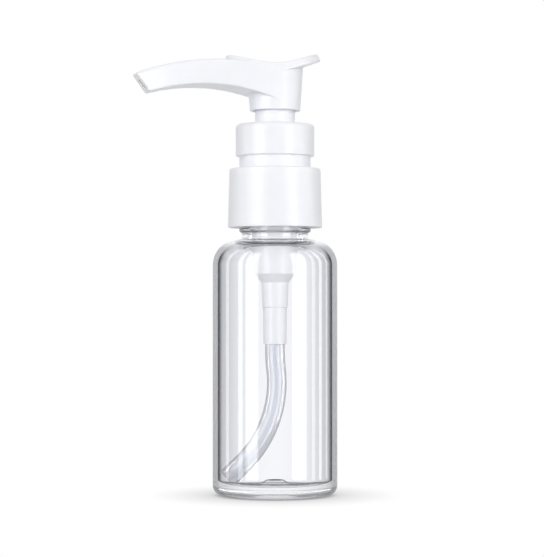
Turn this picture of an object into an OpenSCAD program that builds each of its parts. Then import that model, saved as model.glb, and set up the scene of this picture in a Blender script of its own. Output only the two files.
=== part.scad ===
// Clear travel bottle with a white hand pump.
// Origin: centre of the base ring, on the surface it stands on. +Z is up, the spout points to -X.
// Lengths are millimetres.

/* [Bottle] */
// Outside diameter of the bottle body
bottle_d = 34; // [31:0.5:36]
// Wall thickness of the bottle
bottle_wall = 1.6; // [1:0.1:2]
// Height from the base to the top of the shoulder
body_h = 69.8; // [69:0.2:90]
// Radius of the rounded shoulder, seen from the side
shoulder_r = 7.1; // [6:0.1:7.2]
// Radius of the rounded heel
heel_r = 2.8; // [2:0.1:4]
// Thickness of the floor
floor_t = 2.5; // [1.5:0.1:3.5]
// Inside radius of the flat standing ring
stand_ring_r = 10; // [8:0.5:11]
// Radius of the pushed-up centre of the floor
dome_r = 4.6; // [3.5:0.1:6]
// Height of the pushed-up centre above the floor
dome_h = 1.7; // [0.8:0.1:2]

/* [Neck finish] */
// Diameter over the thread crests and the bead
thread_d = 19.6; // [19:0.1:20.4]
// Height of the threads above the plain neck, on the radius
thread_h = 0.8; // [0.5:0.1:1]
// Height of the neck above the shoulder
neck_h = 15.4; // [14.6:0.1:18]
// Bore of the neck
neck_bore_d = 15.2; // [14.8:0.1:15.6]
// Height of the bead below the thread
bead_h = 1.2; // [0.8:0.1:1.6]
// Height of the middle of the bead above the shoulder
bead_up = 2.5; // [2.2:0.1:3]
// Rise of one turn of the thread
thread_pitch = 3.175; // [2:0.025:4]
// Turns that the screw cap takes to come off
thread_turns = 1.5; // [1:0.25:2]

/* [Screw cap] */
// Diameter of the cap at its top
cap_top_d = 24.9; // [24.4:0.1:27]
// Diameter of the cap at its lower rim
cap_rim_d = 25.8; // [25:0.1:28]
// Height of the cap
cap_h = 16.1; // [14:0.1:16.8]
// Thickness of the top of the cap
cap_top_t = 1.65; // [1.2:0.05:2]
// Thickness of the threaded inner skirt
cap_inner_t = 0.9; // [0.7:0.1:1.1]
// Thickness of the smooth outer skirt
cap_outer_t = 1; // [0.7:0.1:1.1]
// Radius of the edge round the top
cap_edge_r = 0.5; // [0.2:0.1:0.8]

/* [Collar] */
// Diameter of the narrow neck of the collar
collar_neck_d = 19.5; // [19.2:0.1:20.4]
// Height of the narrow neck of the collar
collar_neck_h = 3.35; // [2.5:0.05:5]
// Diameter of the ring of the collar
collar_ring_d = 21.5; // [21:0.1:23.5]
// Height of the ring of the collar
collar_ring_h = 8.7; // [7:0.1:11]
// Radius of the top edge of the ring
collar_edge_r = 1; // [0.4:0.1:1.3]
// Wall thickness of the collar
collar_wall = 1.4; // [1:0.1:1.6]
// Diameter of the chimney that the actuator slides over
chimney_d = 10.9; // [10.6:0.1:11.1]
// Wall thickness of the chimney
chimney_wall = 1.2; // [0.9:0.1:1.2]
// Length of chimney hidden inside the actuator at rest
chimney_overlap = 3.2; // [2:0.1:3.3]

/* [Stroke] */
// Travel of the pump
stroke = 3.4; // [2:0.1:3.6]
// Space left under the actuator when it is pressed down
stroke_rest = 0.3; // [0.2:0.05:0.6]
// Lost motion of the piston, which opens the ports in the stem
piston_lag = 0.8; // [0.4:0.1:1]

/* [Actuator] */
// Diameter of the skirt at its lower rim
skirt_d = 13.8; // [13.6:0.1:14.6]
// Draft of the skirt, which widens upwards, in degrees
skirt_draft = 3.7; // [2:0.1:4.5]
// Running gap between the skirt and the chimney
skirt_gap = 0.3; // [0.2:0.05:0.4]
// Height from the skirt's rim to the highest point of the spout
head_h = 13.2; // [12.9:0.1:15]
// Distance from the axis to the top edge of the spout's end
spout_reach = 39.1; // [36:0.1:42]
// Distance from the axis to the highest point of the spout
spout_crest = 16.5; // [15:0.1:18]
// Height between the highest points of the spout's top and underside
spout_t = 6.8; // [6:0.1:7]
// Radius of the arched top of the spout
spout_top_r = 65.8; // [60:0.2:72]
// Radius of the arched underside of the spout
spout_under_r = 51.5; // [46:0.5:56]
// How far the underside's highest point lies beyond the crest
under_shift = 3.7; // [2:0.1:5]
// Plan radius of the spout's sides, which narrow it towards the tip
side_r = 178; // [160:1:260]
// Slant of the spout's end face, in degrees
tip_slant = 37; // [20:0.5:40]
// Diameter of the channel through the spout
channel_d = 2.8; // [2:0.1:3]

/* [Finger pad] */
// Length of the pad in front of the axis
pad_front = 13.6; // [12:0.1:15]
// Length of the pad behind the axis, along its underside
pad_tail = 12.7; // [11.5:0.1:14]
// Height of the pad's edge
pad_t = 2.25; // [1.8:0.05:2.6]
// Distance of the saddle's lowest point in front of the axis
saddle_x = 1.5; // [0.5:0.1:2.5]
// Depth of the saddle's lowest point below the spout's crest
saddle_drop = 0.65; // [0.3:0.05:0.9]
// Radius of the saddle in front of its lowest point
saddle_front_r = 31.5; // [26:0.5:40]
// Radius of the saddle behind its lowest point
saddle_tail_r = 17.5; // [12:0.5:22]
// Slope of the pad's tail, in degrees
tail_slope = 17.3; // [12:0.1:20]
// Lean of the tail's end face, in degrees
tail_lean = 27; // [0:1:35]

/* [Pump housing] */
// Thickness of the flange that seals on the neck
flange_t = 1.2; // [0.9:0.1:1.6]
// Inside diameter of the pumping chamber
chamber_d = 10; // [9.8:0.1:10.3]
// Wall thickness at the foot of the chamber
chamber_wall = 0.8; // [0.6:0.05:0.9]
// Distance from the flange down to the chamber's floor
chamber_depth = 26.6; // [26:0.1:29]
// Outside diameter of the valve barrel below the chamber
barrel_d = 7.5; // [7.2:0.1:8.4]
// Length of the valve barrel
barrel_l = 7.2; // [7:0.1:9]
// Bore of the valve barrel
barrel_bore_d = 5.2; // [4.6:0.1:5.4]
// Length of the socket that holds the dip tube
socket_l = 10; // [8:0.1:11]
// Wall thickness of the socket
socket_wall = 0.5; // [0.4:0.05:0.9]
// Diameter of the inlet ball
ball_d = 3.5; // [3.1:0.1:4]
// Lift of the inlet ball
ball_lift = 1.2; // [0.6:0.1:1.4]
// Diameter of the inlet throat under the ball
throat_d = 2; // [1.6:0.1:2.2]
// Thickness of the sealing gasket
gasket_t = 1; // [0.6:0.1:1.5]

/* [Stem and piston] */
// Outside diameter of the stem
stem_d = 5.8; // [5.4:0.1:6]
// Bore of the stem
stem_bore_d = 3.8; // [3.2:0.1:4]
// Radius over the piston's lips is this much less than the chamber's
piston_gap = 0.05; // [0.02:0.01:0.1]
// Height of the piston's hub
hub_h = 3.1; // [2.6:0.1:3.4]
// Diameter of the seat on the valve stem
seat_d = 7.8; // [7.4:0.1:8]
// Thickness of the seat
seat_t = 1.8; // [1.2:0.1:2.2]
// Wire diameter of the spring
wire_d = 0.7; // [0.5:0.05:0.8]
// Mean diameter of the spring
coil_d = 6.4; // [6.2:0.1:6.6]
// Turns of the spring, with one closed turn at each end
coil_turns = 8; // [6:1:10]

/* [Dip tube] */
// Outside diameter of the dip tube
tube_d = 5.4; // [4.4:0.1:5.8]
// Wall thickness of the dip tube
tube_wall = 0.8; // [0.6:0.05:1]
// Radius of the tube's gentle bow below the socket
bow_r = 44; // [36:1:60]
// Angle of that bow, away from the spout, in degrees
bow_angle = 6.7; // [3:0.1:8]
// Radius of the long bend towards the corner
bend_r = 30; // [22:0.5:31]
// Angle of the tube's foot from upright, in degrees
foot_angle = 46; // [36:1:50]

/* [Clearances] */
// Running clearance on the radius of a shaft in its guide
run_gap = 0.08; // [0.03:0.01:0.1]
// Clearance between flat faces that turn on each other
turn_gap = 0.05; // [0.03:0.01:0.1]
// Clearance of the cap's thread over the neck's
thread_gap = 0.4; // [0.2:0.05:0.5]
// Clearance of the housing in the neck and of the gasket on the housing
slip_gap = 0.15; // [0.1:0.05:0.3]
// Clearance of the dip tube from the bottle
tube_gap = 0.35; // [0.3:0.05:1]

/* [Hidden] */
$fn = 96;
ARC = 8;            // steps of a small rounded edge
LONG_ARC = 16;      // steps of a long curve
SIDE_FACETS = 360;  // facets of the wide cones that shape the spout's sides
FAR = 60;           // larger than the actuator, for cutting shapes
COIL_STEPS = 20;    // rings in one turn of the spring
COIL_SIDES = 8;     // sides of the spring's wire
TUBE_SIDES = 24;    // sides of the dip tube
BOW_STEPS = 4;      // rings along the tube's bow
BEND_STEPS = 16;    // rings along the tube's bend

clear_plastic = [0.86, 0.90, 0.93, 0.35];
white_plastic = [0.96, 0.96, 0.97];
natural_plastic = [0.90, 0.92, 0.94];
seal_plastic = [0.88, 0.88, 0.86];
steel = [0.72, 0.73, 0.75];

// Bottle
bottle_r = bottle_d / 2;
inner_r = bottle_r - bottle_wall;
thread_r = thread_d / 2;
neck_r = thread_r - thread_h;
neck_bore_r = neck_bore_d / 2;
shoulder_c = bottle_r - shoulder_r;       // radius at which the shoulder turns level
inner_heel_r = max(heel_r - 0.4 * bottle_wall, 1);
neck_fillet = min(0.9, shoulder_c - neck_r);
mouth_fillet = 0.8;
dome_top_r = dome_r / 2;
z_land = body_h + neck_h;

// Flange, cap and collar, stacked on the land of the neck
z_gasket = z_land + gasket_t;
z_flange = z_gasket + flange_t;
z_cap_under = z_flange + turn_gap;
z_cap = z_cap_under + cap_top_t;
z_rim = z_cap - cap_h;
z_collar = z_cap + turn_gap;
z_ring = z_collar + collar_neck_h;
z_ring_top = z_ring + collar_ring_h;
flange_r = thread_r;
cap_bore_r = thread_r + thread_gap;
hub_r = 7.2;                              // housing hub that the collar snaps over
hub_up = 3.6;
spigot_r = hub_r + 1.2;                   // collar spigot that passes through the cap
chimney_r = chimney_d / 2;
chimney_bore_r = chimney_r - chimney_wall;

// Actuator
z_skirt = z_ring_top + stroke + stroke_rest;
z_chimney = z_skirt + chimney_overlap;
z_ceiling = z_chimney + stroke + stroke_rest;
skirt_r = skirt_d / 2;
skirt_bore_r = chimney_r + skirt_gap;
z_crest = z_skirt + head_h;
z_tip = z_crest - spout_top_r + sqrt(spout_top_r ^ 2 - (spout_reach - spout_crest) ^ 2);
z_saddle = z_crest - saddle_drop;
pad_half_w = skirt_r + (z_saddle - z_skirt) * tan(skirt_draft);
stem_r = stem_d / 2;
stem_bore_r = stem_bore_d / 2;
socket_r = stem_r + run_gap;
boss_r = chimney_bore_r - 0.3;
boss_drop = 7.3;                          // length of the boss below the ceiling
channel_r = channel_d / 2;
z_channel = z_crest - spout_t / 2;
z_stem = z_ceiling + 0.9;

// Chamber, stem and piston
chamber_r = chamber_d / 2;
housing_r = chamber_r + chamber_wall;
housing_top_r = neck_bore_r - slip_gap - 1.1;
z_floor = z_flange - chamber_depth;
z_guide = z_land - 0.6;                   // lower end of the collar's guide
guide_up = 13;                            // length of the close part of the guide
guide_r = stem_r + run_gap;
piston_r = chamber_r - piston_gap;
lip_up = 1.5;                             // the upper lip above the hub
z_piston = z_guide - lip_up - piston_lag - 0.4;
z_seat = z_piston - hub_h;
stem_foot = z_piston + piston_lag + turn_gap;
seat_r = seat_d / 2;
z_seat_under = z_seat - seat_t;
pilot_r = (coil_d - wire_d) / 2 - 0.5;
pilot_l = 4.2;
plug_l = 7;
flute_w = 0.9;

// Spring
spring_low = z_floor + wire_d / 2 + 0.02;
spring_high = z_seat_under - wire_d / 2 - 0.02;
closed_pitch = wire_d * 1.05;
open_turns = coil_turns - 2;
open_pitch = (spring_high - spring_low - 2 * closed_pitch) / open_turns;

// Valve barrel, ball and socket
barrel_r = barrel_d / 2;
barrel_bore_r = barrel_bore_d / 2;
funnel_h = 2.4;
z_barrel = z_floor - funnel_h;
z_barrel_low = z_barrel - barrel_l;
tube_r = tube_d / 2;
tube_bore_r = tube_r - tube_wall;
socket_out_r = tube_r + socket_wall;
z_socket = z_barrel_low - socket_l;
z_stop = z_barrel_low - 0.2;              // where the dip tube stops in the socket
throat_r = throat_d / 2;
ball_r = ball_d / 2;
z_throat = z_stop + 0.8;
seat_touch = ball_r * sin(45);
z_ball = z_throat + (seat_touch - throat_r) + seat_touch + 0.02;
z_cage = z_ball + ball_r + ball_lift + 0.08;
cage_h = 1.6;
cage_reach = 1.2;
cage_w = 0.8;
vent_r = 0.4;

// Dip tube: straight, bow, bend and foot
tube_end_x = inner_r - tube_gap - tube_r * cos(foot_angle);
z_tube_end = floor_t + tube_gap + tube_r * sin(foot_angle);
bow_x = bow_r * (1 - cos(bow_angle));
bow_z = bow_r * sin(bow_angle);
bend_x = bend_r * (cos(bow_angle) - cos(foot_angle));
bend_z = bend_r * (sin(bow_angle) + sin(foot_angle));
foot_l = (tube_end_x + bow_x - bend_x) / sin(foot_angle);
tube_drop = z_socket - z_tube_end - foot_l * cos(foot_angle) - bow_z - bend_z;

// Points of an arc about [cx, cy]
function arc(cx, cy, r, from, to, steps = ARC) =
    [for (i = [0:steps]) let (a = from + (to - from) * i / steps) [cx + r * cos(a), cy + r * sin(a)]];

module turned(points) {
    rotate_extrude() polygon(points);
}

module bottle() {
    color(clear_plastic) turned(concat(
        // underside
        [[0, dome_h], [dome_top_r, dome_h]],
        [[dome_r, 0.5], [stand_ring_r, 0]],
        // heel, wall and shoulder
        arc(bottle_r - heel_r, heel_r, heel_r, -90, 0),
        arc(shoulder_c, body_h - shoulder_r, shoulder_r, 0, 90, LONG_ARC),
        // neck with its bead
        arc(neck_r + neck_fillet, body_h + neck_fillet, neck_fillet, 270, 180),
        [[neck_r, body_h + bead_up - bead_h / 2]],
        [[thread_r, body_h + bead_up - bead_h / 4], [thread_r, body_h + bead_up + bead_h / 4]],
        [[neck_r, body_h + bead_up + bead_h / 2]],
        [[neck_r, z_land], [neck_bore_r, z_land]],
        // inside
        arc(neck_bore_r + mouth_fillet, body_h - bottle_wall + mouth_fillet, mouth_fillet, 180, 270),
        arc(shoulder_c, body_h - shoulder_r, shoulder_r - bottle_wall, 90, 0, LONG_ARC),
        arc(inner_r - inner_heel_r, floor_t + inner_heel_r, inner_heel_r, 0, -90),
        [[dome_r + 0.6, floor_t], [dome_r - 0.2, floor_t + 0.25 * dome_h]],
        [[dome_top_r, floor_t + dome_h], [0, floor_t + dome_h]]
    ));
}

module screw_cap() {
    gap_r = cap_bore_r + cap_inner_t;
    top_r = cap_top_d / 2;
    rim_r = cap_rim_d / 2;
    inner_rim = z_rim + 1.2;
    color(white_plastic) turned(concat(
        [[spigot_r + 0.2, z_cap]],
        arc(top_r - cap_edge_r, z_cap - cap_edge_r, cap_edge_r, 90, 0),
        [[rim_r, z_rim], [rim_r - cap_outer_t, z_rim]],
        // space between the two skirts
        [[top_r - cap_outer_t, z_cap_under - 1], [gap_r, z_cap_under - 1]],
        [[gap_r, inner_rim], [cap_bore_r + 0.3, inner_rim], [cap_bore_r, inner_rim + 0.5]],
        [[cap_bore_r, z_cap_under], [spigot_r + 0.2, z_cap_under]]
    ));
}

module gasket() {
    color(seal_plastic) turned([
        [housing_top_r + slip_gap, z_land], [flange_r - 0.2, z_land],
        [flange_r - 0.2, z_gasket], [housing_top_r + slip_gap, z_gasket]
    ]);
}

module housing_shell() {
    z_taper = z_floor + 7.5;
    turned(concat(
        // outside, from the flange down
        [[hub_r, z_flange + hub_up], [hub_r, z_flange]],
        [[flange_r, z_flange], [flange_r, z_gasket]],
        [[housing_top_r, z_gasket], [housing_top_r, z_taper]],
        [[housing_r, z_floor - 0.4], [barrel_r + 0.6, z_barrel + 0.3]],
        [[barrel_r, z_barrel - 0.4], [barrel_r - 0.25, z_barrel_low]],
        [[socket_out_r + 0.1, z_barrel_low], [socket_out_r, z_socket]],
        // inside, from the tube socket up
        [[tube_r, z_socket], [tube_r, z_stop]],
        [[throat_r, z_stop], [throat_r, z_throat]],
        [[barrel_bore_r, z_throat + barrel_bore_r - throat_r], [barrel_bore_r, z_floor]],
        [[chamber_r, z_floor], [chamber_r, z_flange + hub_up]]
    ));
}

module cage_ribs() {
    for (i = [0:2])
        rotate([0, 0, 120 * i])
            translate([barrel_bore_r - cage_reach, -cage_w / 2, z_cage])
                cube([cage_reach + 0.4, cage_w, cage_h]);
}

module pump_housing() {
    color(white_plastic) difference() {
        union() {
            housing_shell();
            cage_ribs();
        }
        // air vent into the bottle
        translate([0, 0, z_land - 2.5])
            rotate([0, 90, 0])
                cylinder(h = FAR, r = vent_r, $fn = 24);
    }
}

module collar() {
    neck_d2 = collar_neck_d / 2;
    ring_r = collar_ring_d / 2;
    z_bush = z_guide + guide_up;
    plug_r = chamber_r - turn_gap;
    color(white_plastic) turned(concat(
        // outside: spigot, neck, ring and chimney
        [[spigot_r, z_flange], [spigot_r, z_collar], [neck_d2, z_collar]],
        [[neck_d2, z_ring], [ring_r, z_ring]],
        arc(ring_r - collar_edge_r, z_ring_top - collar_edge_r, collar_edge_r, 0, 90),
        [[chimney_r, z_ring_top], [chimney_r, z_chimney - 0.3]],
        [[chimney_r - 0.3, z_chimney], [chimney_bore_r, z_chimney]],
        // bore: wide at the top, then the close guide
        [[chimney_bore_r, z_bush], [guide_r, z_bush], [guide_r, z_guide]],
        // plug in the chamber and the pocket behind the ring
        [[plug_r, z_guide], [plug_r, z_flange + hub_up + 0.5]],
        [[plug_r, z_ring_top - collar_wall], [ring_r - collar_wall, z_ring_top - collar_wall]],
        [[ring_r - collar_wall, z_ring + collar_wall], [hub_r, z_ring], [hub_r, z_flange]]
    ));
}

// Rise of a circle of radius r above its lowest point, at a distance run from it
function rise(r, run) = r - sqrt(r * r - run * run);

// Height of the pad's top at a distance u in front of the axis
function pad_z(u) =
    let (run = abs(u - saddle_x), bend = saddle_tail_r * sin(tail_slope))
    z_saddle + (u > saddle_x ? rise(saddle_front_r, run)
        : run < bend ? rise(saddle_tail_r, run)
        : rise(saddle_tail_r, bend) + (run - bend) * tan(tail_slope));

module along_y() {
    rotate([90, 0, 0]) linear_extrude(height = FAR, center = true) children();
}

// Side view of the pad, a little longer than its outline in plan
module pad_section() {
    steps = 2 * LONG_ARC;
    us = [for (i = [0:steps]) pad_front + 1 - (pad_front + pad_tail + 2) * i / steps];
    polygon(concat(
        [for (u = us) [-u, pad_z(u)]],
        [for (i = [steps:-1:0]) [-us[i], pad_z(us[i]) - pad_t]]
    ));
}

// Plan of a strip as wide as the pad, which has a round end at this distance from the axis
module pad_plan(reach) {
    centre = reach - pad_half_w;
    translate([centre, 0]) circle(r = pad_half_w);
    translate([-FAR, -pad_half_w]) square([FAR + centre, 2 * pad_half_w]);
}

// Side view of the spout, from the axis to its slanted end
module spout_section() {
    slant = tan(tip_slant);
    intersection() {
        translate([-spout_crest, z_crest - spout_top_r]) circle(r = spout_top_r, $fn = 180);
        difference() {
            polygon([[0, z_crest], [-spout_reach - (z_crest - z_tip) * slant, z_crest],
                     [-spout_reach + (z_tip - z_skirt) * slant, z_skirt], [0, z_skirt]]);
            translate([-spout_crest - under_shift, z_crest - spout_t - spout_under_r])
                circle(r = spout_under_r, $fn = 180);
        }
    }
}

// The space between the spout's curved sides, which touch the conical skirt
module between_sides() {
    cone_h = 2 * head_h;
    intersection_for(side = [-1, 1])
        translate([0, side * (side_r - skirt_r), z_skirt])
            cylinder(h = cone_h, r1 = side_r, r2 = side_r + cone_h * tan(skirt_draft), $fn = SIDE_FACETS);
}

module skirt_cone() {
    cone_h = head_h + 2;
    top_r = skirt_r + cone_h * tan(skirt_draft);
    intersection() {
        translate([0, 0, z_skirt]) cylinder(h = cone_h, r1 = skirt_r, r2 = top_r);
        along_y() polygon(concat(
            [for (i = [0:LONG_ARC]) let (u = 10 - 20 * i / LONG_ARC) [-u, pad_z(u) - pad_t / 2]],
            [[10, z_skirt - 1], [-10, z_skirt - 1]]
        ));
    }
}

module finger_pad() {
    z_tail = pad_z(-pad_tail) - pad_t;
    intersection() {
        along_y() pad_section();
        translate([0, 0, z_skirt]) linear_extrude(height = FAR) mirror([1, 0]) pad_plan(pad_front);
        translate([0, 0, z_tail]) rotate([0, -tail_lean, 0])
            linear_extrude(height = FAR, center = true) pad_plan(pad_tail * cos(tail_lean));
    }
}

module head_block() {
    skirt_cone();
    intersection() {
        between_sides();
        union() {
            along_y() spout_section();
            finger_pad();
        }
    }
    // behind the axis the pad keeps its own outline
    intersection() {
        finger_pad();
        translate([0, -FAR, z_skirt]) cube([FAR, 2 * FAR, FAR]);
    }
}

module flow_channel() {
    arch_r = spout_top_r - spout_t / 2;
    z_arch = z_channel - arch_r;
    sweep = asin((spout_reach + 3 - spout_crest) / arch_r);
    translate([0, 0, z_ceiling - 1]) cylinder(h = z_channel - z_ceiling + 1, r = channel_r, $fn = 48);
    translate([0, 0, z_channel]) sphere(r = channel_r, $fn = 48);
    translate([0, 0, z_channel])
        rotate([0, -90, 0])
            cylinder(h = spout_crest, r = channel_r, $fn = 48);
    translate([-spout_crest, 0, z_arch])
        rotate([90, 0, 0])
            rotate([0, 0, 90])
                rotate_extrude(angle = sweep)
                    translate([arch_r, 0]) circle(r = channel_r, $fn = 48);
}

module actuator() {
    boss_low = z_ceiling - boss_drop;
    color(white_plastic) difference() {
        head_block();
        // inside of the skirt, around the boss
        difference() {
            translate([0, 0, z_skirt - 1])
                cylinder(h = z_ceiling - z_skirt + 1, r1 = skirt_bore_r, r2 = skirt_bore_r + 0.2);
            translate([0, 0, boss_low]) cylinder(h = boss_drop + 1, r = boss_r);
        }
        translate([0, 0, z_skirt - 1]) cylinder(h = max(boss_low - z_skirt + 1, 0.5), r = boss_r);
        translate([0, 0, boss_low - 1]) cylinder(h = z_stem + turn_gap - boss_low + 1, r = socket_r);
        flow_channel();
    }
}

module stem() {
    color(natural_plastic) turned([
        [stem_bore_r, stem_foot], [stem_r, stem_foot],
        [stem_r, z_stem - 0.3], [stem_r - 0.3, z_stem], [stem_bore_r, z_stem]
    ]);
}

module valve_stem() {
    shaft_r = stem_bore_r;
    color(natural_plastic) difference() {
        turned([
            [0, z_seat_under - pilot_l], [pilot_r - 0.4, z_seat_under - pilot_l],
            [pilot_r, z_seat_under - pilot_l + 0.8], [pilot_r, z_seat_under],
            [seat_r, z_seat_under], [seat_r, z_seat - 0.4], [seat_r - 0.4, z_seat],
            [shaft_r, z_seat], [shaft_r, stem_foot + plug_l - 0.4],
            [shaft_r - 0.4, stem_foot + plug_l], [0, stem_foot + plug_l]
        ]);
        // flutes that carry the liquid up past the piston
        for (i = [0:2])
            rotate([0, 0, 120 * i])
                translate([shaft_r - 0.8, -flute_w / 2, z_seat + 0.6])
                    cube([2, flute_w, FAR]);
    }
}

module piston() {
    bore_r = stem_bore_r + run_gap;
    hub_out = seat_r - 0.5;
    lip_in = piston_r - 0.55;
    z_lip = z_piston + lip_up;
    z_foot = z_seat - 0.9;
    color(natural_plastic) turned([
        [bore_r, z_seat], [hub_out, z_seat], [seat_r + 0.25, z_seat + 0.3],
        [seat_r + 0.25, z_foot], [piston_r - 0.25, z_foot], [piston_r, z_foot + 0.3],
        [piston_r - 0.35, z_seat + 0.5], [piston_r - 0.35, z_piston],
        [piston_r, z_lip - 0.3], [piston_r - 0.25, z_lip],
        [lip_in - 0.1, z_lip], [lip_in - 0.5, z_piston - 0.6],
        [hub_out - 0.2, z_piston - 0.8], [hub_out - 0.2, z_piston - 0.2],
        [hub_out - 0.4, z_piston], [bore_r, z_piston]
    ]);
}

// Height of the wire's centre after so many turns: one closed turn at each end
function coil_z(turns) =
    turns < 1 ? spring_low + closed_pitch * turns
    : turns > coil_turns - 1 ? spring_high - closed_pitch * (coil_turns - turns)
    : spring_low + closed_pitch + open_pitch * (turns - 1);

module spring() {
    rings = coil_turns * COIL_STEPS;
    points = [for (i = [0:rings], k = [0:COIL_SIDES - 1])
        let (
            a = 360 * i / COIL_STEPS,
            b = 360 * k / COIL_SIDES,
            r = coil_d / 2 + wire_d / 2 * cos(b)
        )
        [r * cos(a), r * sin(a), coil_z(i / COIL_STEPS) + wire_d / 2 * sin(b)]];
    sides = [for (i = [0:rings - 1], k = [0:COIL_SIDES - 1])
        let (n = (k + 1) % COIL_SIDES, at = i * COIL_SIDES, up = (i + 1) * COIL_SIDES)
        [at + k, up + k, up + n, at + n]];
    first = [for (k = [0:COIL_SIDES - 1]) k];
    last = [for (k = [COIL_SIDES - 1:-1:0]) rings * COIL_SIDES + k];
    color(steel) polyhedron(points = points, faces = concat(sides, [first, last]), convexity = 10);
}

module inlet_ball() {
    color(steel) translate([0, 0, z_ball]) sphere(r = ball_r);
}

// Rings of the dip tube from the socket to the foot: [x, z, angle from upright]
function tube_route() =
    let (z_bow = z_socket - tube_drop)
    concat(
        [[0, z_stop, 0]],
        [for (i = [0:BOW_STEPS])
            let (a = bow_angle * i / BOW_STEPS)
            [bow_r * (1 - cos(a)), z_bow - bow_r * sin(a), -a]],
        [for (i = [1:BEND_STEPS])
            let (a = -bow_angle + (bow_angle + foot_angle) * i / BEND_STEPS)
            [bow_x - bend_r * (cos(bow_angle) - cos(a)),
             z_bow - bow_z - bend_r * (sin(bow_angle) + sin(a)), a]],
        [[-tube_end_x, z_tube_end, foot_angle]]
    );

module dip_tube() {
    route = tube_route();
    last = len(route) - 1;
    ring = 2 * TUBE_SIDES;
    // each ring has its outer points first, then its inner ones
    points = [for (p = route, radius = [tube_r, tube_bore_r], k = [0:TUBE_SIDES - 1])
        let (b = 360 * k / TUBE_SIDES, across = radius * cos(b))
        [p[0] + across * cos(p[2]), radius * sin(b), p[1] - across * sin(p[2])]];
    walls = [for (i = [0:last - 1], k = [0:TUBE_SIDES - 1], wall = [0, 1])
        let (
            n = (k + 1) % TUBE_SIDES,
            at = i * ring + wall * TUBE_SIDES,
            under = at + ring
        )
        wall == 0 ? [at + k, under + k, under + n, at + n] : [at + n, under + n, under + k, at + k]];
    ends = [for (k = [0:TUBE_SIDES - 1], end = [0, 1])
        let (n = (k + 1) % TUBE_SIDES, at = end * last * ring, inner = at + TUBE_SIDES)
        end == 0 ? [at + k, at + n, inner + n, inner + k] : [inner + k, inner + n, at + n, at + k]];
    color(clear_plastic) polyhedron(points = points, faces = concat(walls, ends), convexity = 10);
}

bottle();
screw_cap();
gasket();
pump_housing();
collar();
actuator();
stem();
valve_stem();
piston();
spring();
inlet_ball();
dip_tube();
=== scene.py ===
"""Looks of the pump bottle: clear blown bottle, white pump, plain white studio.

Lengths are millimetres in the part's frame until place() turns a mesh into metres.
"""

import math

import bpy
import numpy as np
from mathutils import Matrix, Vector


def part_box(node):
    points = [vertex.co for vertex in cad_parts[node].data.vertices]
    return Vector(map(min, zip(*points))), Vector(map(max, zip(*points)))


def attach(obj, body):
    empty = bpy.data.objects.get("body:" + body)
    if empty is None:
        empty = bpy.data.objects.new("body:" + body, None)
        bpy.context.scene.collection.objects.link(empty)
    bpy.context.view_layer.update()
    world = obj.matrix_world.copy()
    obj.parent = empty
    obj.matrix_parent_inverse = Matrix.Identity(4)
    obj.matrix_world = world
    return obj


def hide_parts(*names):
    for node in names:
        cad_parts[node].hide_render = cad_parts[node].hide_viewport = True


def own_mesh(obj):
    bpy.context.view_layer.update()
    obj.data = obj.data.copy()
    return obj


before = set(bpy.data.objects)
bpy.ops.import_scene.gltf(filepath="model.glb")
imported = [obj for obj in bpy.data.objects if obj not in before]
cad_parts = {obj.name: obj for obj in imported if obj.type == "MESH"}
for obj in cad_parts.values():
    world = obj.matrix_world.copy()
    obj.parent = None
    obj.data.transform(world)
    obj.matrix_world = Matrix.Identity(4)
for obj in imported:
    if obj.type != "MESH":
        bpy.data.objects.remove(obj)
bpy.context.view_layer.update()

MM = 0.001
SAME = 1e-6             # two lengths closer than this count as the same
SEGMENTS = 192          # sides of a turned piece
FILLET_STEPS = 6        # steps of a small rounded edge
WIDE_STEPS = 20         # steps of a rounded edge over WIDE_FILLET
WIDE_FILLET = 2.0


def low(node, axis=2):
    """Lowest coordinate of a CAD node along an axis, in millimetres."""
    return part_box(node)[0][axis] / MM


def high(node, axis=2):
    """Highest coordinate of a CAD node along an axis, in millimetres."""
    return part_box(node)[1][axis] / MM


# Sizes that the frame gives
BOTTLE_R = high("bottle", 0)
Z_LAND = high("bottle")
FLANGE_R = high("pump_housing", 0)
RIM_R = high("screw_cap", 0)
Z_RIM = low("screw_cap")
Z_CAP = high("screw_cap")
RING_R = high("collar", 0)
Z_CHIMNEY = high("collar")
Z_GUIDE = low("collar")
Z_SKIRT = low("actuator")
REACH = -low("actuator", 0)
Z_HUB = high("pump_housing")
Z_SOCKET = low("pump_housing")
Z_GASKET = high("gasket")
TUBE_R = high("dip_tube", 1)

# Pump
HUB_R = 7.2             # housing's hub, which the collar fits on
TUBE_WALL = 0.8

# Bottle
WALL = 1.6
FLOOR = 2.5
SHOULDER = 7.1          # rounding from the body to the neck
HEEL = 2.8              # rounding from the body to the foot
NECK_H = 15.4
NECK_R = 9.0
BORE_R = 7.6
NECK_FILLET = 0.9
STAND_R = 10.0          # inner edge of the ring that the bottle stands on
DOME_R = 4.6            # pushed-up middle of the foot
DOME_H = 1.7
Z_SHOULDER = Z_LAND - NECK_H

# Thread and bead on the neck
NECK_STEP = 0.16        # between rows of points up the neck
ON_NECK = 1e-3          # a point closer to the plain neck than this is on it
CREST = 0.78            # height of both over the plain neck
PITCH = 3.175
TURNS = 1.5
THREAD_W = 1.5
THREAD_FORM = 0.8       # power of a cosine: less than 1 gives a fuller ridge
RUN_OUT = 0.12          # part of a turn over which the thread starts and ends
Z_THREAD = Z_SHOULDER + 5.6
Z_BEAD = Z_SHOULDER + 2.5
BEAD_W = 1.7
BEAD_FORM = 0.7

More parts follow.
